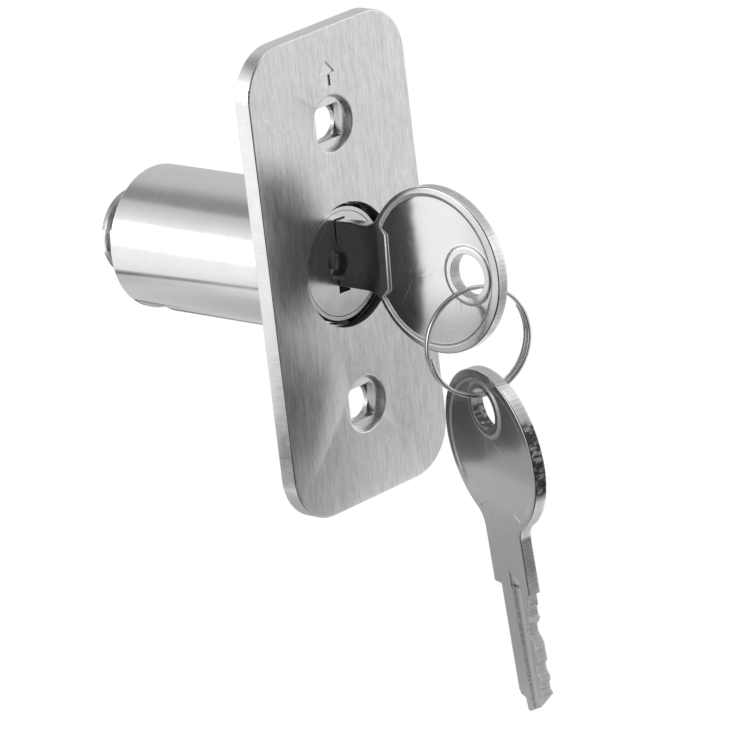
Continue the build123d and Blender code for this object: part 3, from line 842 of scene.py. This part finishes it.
class ReleaseLockSizes(bpy.types.PropertyGroup):
    """Small sizes of the finished pieces."""

    plate_edge: FloatProperty(
        name="Plate edge", description="Width of the eased edge at the plate's holes",
        default=0.08 * MM, min=0, max=0.3 * MM, unit="LENGTH",
    )
    turned_edge: FloatProperty(
        name="Turned edge", description="Width of the eased edges of turned pieces",
        default=0.10 * MM, min=0, max=0.3 * MM, unit="LENGTH",
    )
    key_edge: FloatProperty(
        name="Key edge", description="Width of the keys' tumbled edges",
        default=0.25 * MM, min=0, max=0.3 * MM, unit="LENGTH",
    )
    step_lean: FloatProperty(
        name="Step lean", description="How far the coined step leans back on the keys' bows",
        default=0.34 * MM, min=0, max=0.5 * MM, unit="LENGTH",
    )
    ring_radius: FloatProperty(
        name="Ring radius", description="Radius of the split ring at the middle of its wire",
        default=8.55 * MM, min=6 * MM, max=9 * MM, unit="LENGTH",
    )
    ring_wire_radial: FloatProperty(
        name="Wire height", description="Size of the ring's wire across the ring",
        default=0.59 * MM, min=0.4 * MM, max=0.6 * MM, unit="LENGTH",
    )
    ring_wire_axial: FloatProperty(
        name="Wire width", description="Size of one turn of the ring's wire along its axis",
        default=0.92 * MM, min=0.3 * MM, max=0.93 * MM, unit="LENGTH",
    )
    ring_steps: IntProperty(
        name="Ring steps", description="Sections in each turn of the ring",
        default=120, min=24, max=400,
    )


class ReleaseLockStage(bpy.types.PropertyGroup):
    """Floor, light and camera."""

    floor_level: FloatProperty(
        name="Floor", description="Height of the floor", default=-72.0 * MM, unit="LENGTH",
    )
    paper: FloatProperty(
        name="Paper", description="How pale the floor is", default=0.9, min=0, max=1,
        subtype="FACTOR",
    )
    lens: FloatProperty(
        name="Lens", description="Focal length of the camera in millimetres", default=336.65,
        min=20, max=1000,
    )


def metals_and_sizes(context):
    """The two groups of settings that the pieces use."""
    return context.scene.release_lock_metals, context.scene.release_lock_sizes


# Operators


class RELEASELOCK_OT_plate(bpy.types.Operator):
    """Finish the brushed face plate"""

    bl_idname = "releaselock.plate"
    bl_label = "Face Plate"

    def execute(self, context):
        metals, sizes = metals_and_sizes(context)
        brushed = brushed_plate(metals.plate_tint, metals.plate_roughness)
        mesh = ease_node("plate_brushed", "face_plate", brushed, "plate_steel", sizes.plate_edge)
        mesh.materials.append(sheared_steel(metals.edge_tint, metals.edge_roughness))
        low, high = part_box("face_plate")
        for polygon in mesh.polygons:
            flat = abs(polygon.normal.y) > 0.9
            off_faces = min(abs(polygon.center.y - low.y), abs(polygon.center.y - high.y))
            polygon.material_index = 0 if flat and off_faces < 2 * TOUCH else 1
        return {"FINISHED"}


class RELEASELOCK_OT_barrel(bpy.types.Operator):
    """Finish the barrel"""

    bl_idname = "releaselock.barrel"
    bl_label = "Barrel"

    def execute(self, context):
        metals, sizes = metals_and_sizes(context)
        plating = turned_plating(metals.barrel_tint, metals.barrel_roughness)
        ease_node("barrel_turned", "barrel_tube", plating, "barrel_zinc", sizes.turned_edge)
        return {"FINISHED"}


class RELEASELOCK_OT_cylinder(bpy.types.Operator):
    """Finish the release cylinder, its clip and the pin that keeps the plug in"""

    bl_idname = "releaselock.cylinder"
    bl_label = "Release Cylinder"

    def execute(self, context):
        metals, sizes = metals_and_sizes(context)
        edge, steel = sizes.turned_edge, metals.steel_tint
        tint, rough = metals.lock_tint, metals.lock_roughness
        plating = faced_plating("plated_cylinder", tint, rough, skirt=0.75)
        clip = stamped_metal("tumbled_clip", steel, dark=(0.36, 0.35, 0.34), roughness=0.34)
        ground = drawn_wire("ground_pin", steel, roughness=0.25, axis=LOCK_RIGHT)
        ease_node("cylinder_plated", "release_cylinder", plating, "cylinder_zinc", edge)
        ease_node("clip_tumbled", "tail_clip", clip, "clip_steel", edge)
        finish_node("plug_retaining_pin", ground)
        return {"FINISHED"}


class RELEASELOCK_OT_plug(bpy.types.Operator):
    """Finish the key plug and its crank pin"""

    bl_idname = "releaselock.plug"
    bl_label = "Key Plug"

    def execute(self, context):
        metals, sizes = metals_and_sizes(context)
        plating = faced_plating("plated_plug", metals.lock_tint, metals.lock_roughness)
        steel = metals.steel_tint
        ground = drawn_wire("ground_crank", steel, roughness=0.22, axis=(0, 1, 0))
        ease_node("plug_plated", "key_plug", plating, "plug_zinc", sizes.turned_edge)
        finish_node("crank_pin", ground)
        return {"FINISHED"}


class RELEASELOCK_OT_bolt(bpy.types.Operator):
    """Finish the locking bolt"""

    bl_idname = "releaselock.bolt"
    bl_label = "Locking Bolt"

    def execute(self, context):
        metals, sizes = metals_and_sizes(context)
        steel = metals.steel_tint
        milled = stamped_metal("milled_bolt", steel, dark=(0.40, 0.39, 0.38), roughness=0.3)
        ease_node("bolt_milled", "locking_bolt", milled, "bolt_steel", sizes.turned_edge)
        return {"FINISHED"}


class RELEASELOCK_OT_wafers(bpy.types.Operator):
    """Finish the wafers and their springs"""

    bl_idname = "releaselock.wafers"
    bl_label = "Wafers and Springs"

    def execute(self, context):
        metals, sizes = metals_and_sizes(context)
        brass, steel = metals.brass_tint, metals.steel_tint
        brass = stamped_metal("stamped_brass", brass, dark=(0.52, 0.36, 0.17), roughness=0.28)
        wire = drawn_wire("spring_wire", steel, roughness=0.24, axis=LOCK_UP)
        for number in range(1, 6):
            node = f"wafer_{number}"
            ease_node(f"brass_{node}", node, brass, "wafer_brass", sizes.turned_edge / 2)
            finish_node(f"wafer_spring_{number}", wire)
        return {"FINISHED"}


class RELEASELOCK_OT_keys(bpy.types.Operator):
    """Finish the key in the lock and the spare key"""

    bl_idname = "releaselock.keys"
    bl_label = "Keys"

    def execute(self, context):
        metals, sizes = metals_and_sizes(context)
        # rust is real wear and dull_back tarnish, while painted_front_reflection is a painted reflection.
        wear_and_painted_reflection = {
            "lock_key": {"dull_back": 0.9},
            "spare_key": {"rust": 0.7, "painted_front_reflection": 1.0},
        }
        for node, key in keys().items():
            mesh = eased(
                node,
                key.coined(node, sizes.step_lean),
                sizes.key_edge,
                segments=KEY_BEVEL_SEGMENTS,
                angle=KEY_CREASE_ANGLE,
                share=key.share,
                crisp=key.crisp,
                clamp=False,
            )
            tint, rough = metals.key_tint, metals.key_roughness
            satin = satin_key(f"satin_{node}", tint, rough, key, **wear_and_painted_reflection[node])
            add_piece(f"nickel_{node}", mesh, satin, body_of_node(node), "key_nickel", node)
            if node == "lock_key":
                rough -= COIN_ROUGHNESS_DROP
                coin = satin_key("brushed_coin", tint, rough, key, polish_turn=0.25)
                mesh.materials.append(coin)
                for polygon in mesh.polygons:
                    polygon.material_index = 1 if key.in_hollow(polygon) else 0
        return {"FINISHED"}


class RELEASELOCK_OT_ring(bpy.types.Operator):
    """Wind the split ring from flat wire that steps over to its second turn"""

    bl_idname = "releaselock.ring"
    bl_label = "Split Ring"

    def execute(self, context):
        metals, sizes = metals_and_sizes(context)
        low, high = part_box("split_ring")
        centre = (low + high) / 2
        normal = Vector((-cos(RING_FACING), -sin(RING_FACING), 0))
        sideways = Vector((-normal.y, normal.x, 0))
        steps = int(sizes.ring_steps * RING_TURNS)
        half_width, half_height = sizes.ring_wire_axial / 2, sizes.ring_wire_radial / 2
        outline = wire_outline(half_width, half_height)
        work = bmesh.new()
        loops = []
        for step in range(steps + 1):
            wound = step / steps * RING_TURNS
            angle = RING_START - wound * tau
            over = min(max((wound - STEP_OVER_START) / STEP_OVER_LENGTH, 0.0), 1.0)
            over = over * over * (3 - 2 * over)
            side = (1 - over * 2) * (half_width + RING_HALF_GAP)
            to_end = min(wound, RING_TURNS - wound) * tau * sizes.ring_radius
            taper = min(1.0, WIRE_END_SHARE + to_end / WIRE_END_LENGTH)
            out = Vector((0, 0, 1)) * cos(angle) + sideways * sin(angle)
            loop = []
            for along, across in outline:
                reach, shift = sizes.ring_radius + across * taper, side + along * taper
                loop.append(work.verts.new(centre + out * reach + normal * shift))
            loops.append(loop)
        for first, second in zip(loops, loops[1:]):
            for i in range(RING_SIDES):
                j = (i + 1) % RING_SIDES
                work.faces.new((first[i], first[j], second[j], second[i]))
        work.faces.new(loops[0])
        work.faces.new(list(reversed(loops[-1])))
        bmesh.ops.recalc_face_normals(work, faces=work.faces)
        mesh = bpy.data.meshes.new("ring_mesh")
        work.to_mesh(mesh)
        work.free()
        smooth(mesh, RING_CREASE_ANGLE)
        wire = drawn_wire("ring_wire", metals.ring_tint, roughness=0.20, axis=normal)
        add_piece("ring_wound", mesh, wire, "ring", "ring_steel", "split_ring")
        return {"FINISHED"}


class RELEASELOCK_OT_stage(bpy.types.Operator):
    """Lay the floor, set the lamps and the surroundings, and place the camera"""

    bl_idname = "releaselock.stage"
    bl_label = "Stage"

    def execute(self, context):
        stage = context.scene.release_lock_stage
        work = bmesh.new()
        bmesh.ops.create_circle(
            work, cap_ends=True, segments=FLOOR_SIDES, radius=FLOOR_RADIUS
        )
        bmesh.ops.translate(work, verts=work.verts, vec=(0, 0, stage.floor_level))
        mesh = bpy.data.meshes.new("floor_mesh")
        work.to_mesh(mesh)
        work.free()
        mesh.materials.append(white_sweep(stage.paper))
        floor = bpy.data.objects.new("floor", mesh)
        context.scene.collection.objects.link(floor)
        self.surroundings(context)
        for lamp in LAMPS:
            self.lamp(context, *lamp)
        self.camera(context, stage.lens)
        context.scene.view_settings.view_transform = "Standard"
        return {"FINISHED"}

    def lamp(self, context, name, place, size, power):
        """A flat studio lamp that faces the lock."""
        lamp = bpy.data.lights.new(name, "AREA")
        lamp.shape = "RECTANGLE"
        lamp.size, lamp.size_y = size
        lamp.energy = power
        holder = bpy.data.objects.new(name, lamp)
        holder.location = place
        holder.rotation_mode = "QUATERNION"
        holder.rotation_quaternion = (-Vector(place)).to_track_quat("-Z", "Y")
        context.scene.collection.objects.link(holder)

    def camera(self, context, lens):
        """The camera, in the place that was fitted to the photograph."""
        camera = bpy.data.cameras.new("camera")
        camera.lens = lens
        camera.sensor_width = SENSOR_WIDTH
        camera.clip_start, camera.clip_end = SIGHT
        holder = bpy.data.objects.new("camera", camera)
        ahead = CAMERA_RIGHT.cross(CAMERA_DOWN).normalized()
        down = ahead.cross(CAMERA_RIGHT).normalized()
        right = CAMERA_RIGHT.normalized()
        axes = Matrix((right, -down, -ahead)).transposed().to_4x4()
        offset = LOCK_FROM_CAMERA
        place = -(right * offset.x + down * offset.y + ahead * offset.z)
        holder.matrix_world = Matrix.Translation(place) @ axes
        context.scene.collection.objects.link(holder)
        context.scene.camera = holder

    def surroundings(self, context):
        """A white room with a ceiling that is darker, except on the right."""
        s = Surface("studio", bpy.data.worlds)
        context.scene.world = s.made
        looking = s.node("ShaderNodeTexCoord", output="Generated")
        x, y, z = (s.dot(looking, axis) for axis in ((1, 0, 0), (0, 1, 0), (0, 0, 1)))
        level = reach_of(x, y, least=0.0001)
        across, ahead = x / level, y / level
        ceiling = (1 - z.rise(0.36, 0.80) * 0.50) * (1 - z.rise(0.685, 0.700) * 0.47)
        open_side = across.rise(-0.32, 0.62)
        tone = walls(across, ahead) * (ceiling * (1 - open_side) + open_side)
        seen = s.node("ShaderNodeLightPath", output="Is Camera Ray")
        tone = tone * (1 - seen) + seen
        light = s.node("ShaderNodeBackground", None, {"Color": s.grey(tone), "Strength": 1.0})
        s.node("ShaderNodeOutputWorld", None, {"Surface": light})


OPERATORS = (
    RELEASELOCK_OT_plate,
    RELEASELOCK_OT_barrel,
    RELEASELOCK_OT_cylinder,
    RELEASELOCK_OT_plug,
    RELEASELOCK_OT_bolt,
    RELEASELOCK_OT_wafers,
    RELEASELOCK_OT_keys,
    RELEASELOCK_OT_ring,
    RELEASELOCK_OT_stage,
)


class RELEASELOCK_PT_panel(bpy.types.Panel):
    """Lists the lock's pieces, metals and stage"""

    bl_idname = "RELEASELOCK_PT_panel"
    bl_label = "Release Lock"
    bl_space_type = "VIEW_3D"
    bl_region_type = "UI"
    bl_category = "Release Lock"

    def draw(self, context):
        layout = self.layout
        for group in ("release_lock_metals", "release_lock_sizes", "release_lock_stage"):
            settings = getattr(context.scene, group)
            column = layout.column()
            for name in settings.bl_rna.properties.keys():
                if name not in ("rna_type", "name"):
                    column.prop(settings, name)
        for operator in OPERATORS:
            layout.operator(operator.bl_idname)


CLASSES = (ReleaseLockMetals, ReleaseLockSizes, ReleaseLockStage, *OPERATORS, RELEASELOCK_PT_panel)


def register():
    for cls in CLASSES:
        bpy.utils.register_class(cls)
    bpy.types.Scene.release_lock_metals = PointerProperty(type=ReleaseLockMetals)
    bpy.types.Scene.release_lock_sizes = PointerProperty(type=ReleaseLockSizes)
    bpy.types.Scene.release_lock_stage = PointerProperty(type=ReleaseLockStage)


def unregister():
    del bpy.types.Scene.release_lock_metals
    del bpy.types.Scene.release_lock_sizes
    del bpy.types.Scene.release_lock_stage
    for cls in reversed(CLASSES):
        bpy.utils.unregister_class(cls)


def main():
    register()
    for operator in OPERATORS:
        group, name = operator.bl_idname.split(".")
        getattr(getattr(bpy.ops, group), name)()


if __name__ == "__main__":
    main()
